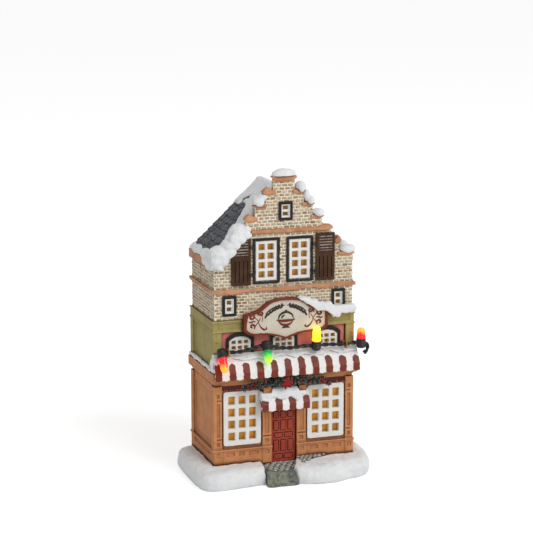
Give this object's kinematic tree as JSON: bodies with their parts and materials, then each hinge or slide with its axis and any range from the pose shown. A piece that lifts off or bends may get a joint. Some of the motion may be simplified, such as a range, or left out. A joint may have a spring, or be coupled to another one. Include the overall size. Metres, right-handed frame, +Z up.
{
  "type": "christmas village shop",
  "caption": "Battery-lit miniature shop with a stepped gable, slate roof, striped awnings, arched windows, sign board and a string of coloured lamps, on a snow-covered foot.",
  "frame": {"origin": "on the floor, under the middle of the foot", "axes": "+Z up, the shop front looks to -Y, +X to the right of a viewer who faces the front"},
  "size_m": [0.09, 0.06, 0.149],
  "materials": {
    "snow": "matt white paint with a little sparkle",
    "path_stone": "painted cobbles, matt",
    "brown_paint": "painted resin, matt",
    "white_paint": "painted resin, satin",
    "door_paint": "painted resin, satin",
    "awning_paint": "painted resin in red and white stripes, satin",
    "green_paint": "painted resin, matt",
    "mauve_paint": "painted resin, matt",
    "black_paint": "painted resin, satin",
    "brick_paint": "painted bricks with dark joints, matt",
    "terracotta_paint": "painted resin, matt",
    "shutter_paint": "painted resin, matt",
    "slate_paint": "painted slates, satin",
    "sign_paint": "painted board with a dark red border, matt",
    "garland_green": "painted fir garland, matt",
    "black_plastic": "satin",
    "lamp_red": "clear coloured lamp, lit",
    "lamp_green": "clear coloured lamp, lit",
    "lamp_yellow": "clear coloured lamp, lit",
    "brass": "bright wire",
    "cell_steel": "nickel plated",
    "board_green": "solder mask",
    "lamp_amber": "warm lamp, lit",
    "amber_film": "thin translucent film"
  },
  "bodies": {
    "shop": {"snow_foot": "snow", "cobble_path": "path_stone", "shop_walls": "brown_paint", "shop_window_left": "white_paint", "shop_window_right": "white_paint", "shop_door": "door_paint", "cornice": "brown_paint", "main_awning": "awning_paint", "door_awning": "awning_paint", "panel_storey_walls": "green_paint", "mauve_panel": "mauve_paint", "arch_window_left": "white_paint", "arch_window_middle": "white_paint", "arch_window_right": "white_paint", "arch_surround_left": "black_paint", "arch_surround_middle": "black_paint", "arch_surround_right": "black_paint", "brick_walls": "brick_paint", "belt_course": "terracotta_paint", "eave_course": "terracotta_paint", "small_window_left": "white_paint", "small_window_right": "white_paint", "upper_window_left": "white_paint", "upper_window_right": "white_paint", "upper_surround_left": "black_paint", "upper_surround_right": "black_paint", "shutter_left": "shutter_paint", "shutter_right": "shutter_paint", "attic_window": "white_paint", "slate_roof": "slate_paint", "sign_board": "sign_paint", "roof_snow": "snow", "gable_cap_snow": "snow", "sill_snow": "snow", "main_awning_snow": "snow", "door_awning_snow": "snow", "garland": "garland_green", "string_wire": "black_plastic", "lamp_socket_left": "black_plastic", "lamp_socket_green": "black_plastic", "lamp_socket_yellow": "black_plastic", "lamp_socket_right": "black_plastic", "lamp_left": "lamp_red", "lamp_green": "lamp_green", "lamp_yellow": "lamp_yellow", "lamp_right": "lamp_red", "eyelet_left": "brass", "eyelet_right": "brass", "battery_box": "black_plastic", "cell_front": "cell_steel", "cell_rear": "cell_steel", "contact_left": "cell_steel", "contact_right": "cell_steel", "switch_body": "black_plastic", "circuit_board": "board_green", "room_lamp": "lamp_amber", "shop_film": "amber_film", "upper_film": "amber_film"},
    "battery_cover": {"battery_cover": "black_plastic"},
    "switch_knob": {"switch_knob": "black_plastic"}
  },
  "joints": [
    {"name": "battery_cover_hinge", "type": "hinge", "parent": "shop", "child": "battery_cover", "pos_m": [-0.0274, 0.0088, 0.0022], "axis": [0, 1, 0], "range_deg": [0, 90]},
    {"name": "switch_slide", "type": "slide", "parent": "shop", "child": "switch_knob", "axis": [0, 1, 0], "range_m": [0, 0.0025]}
  ]
}
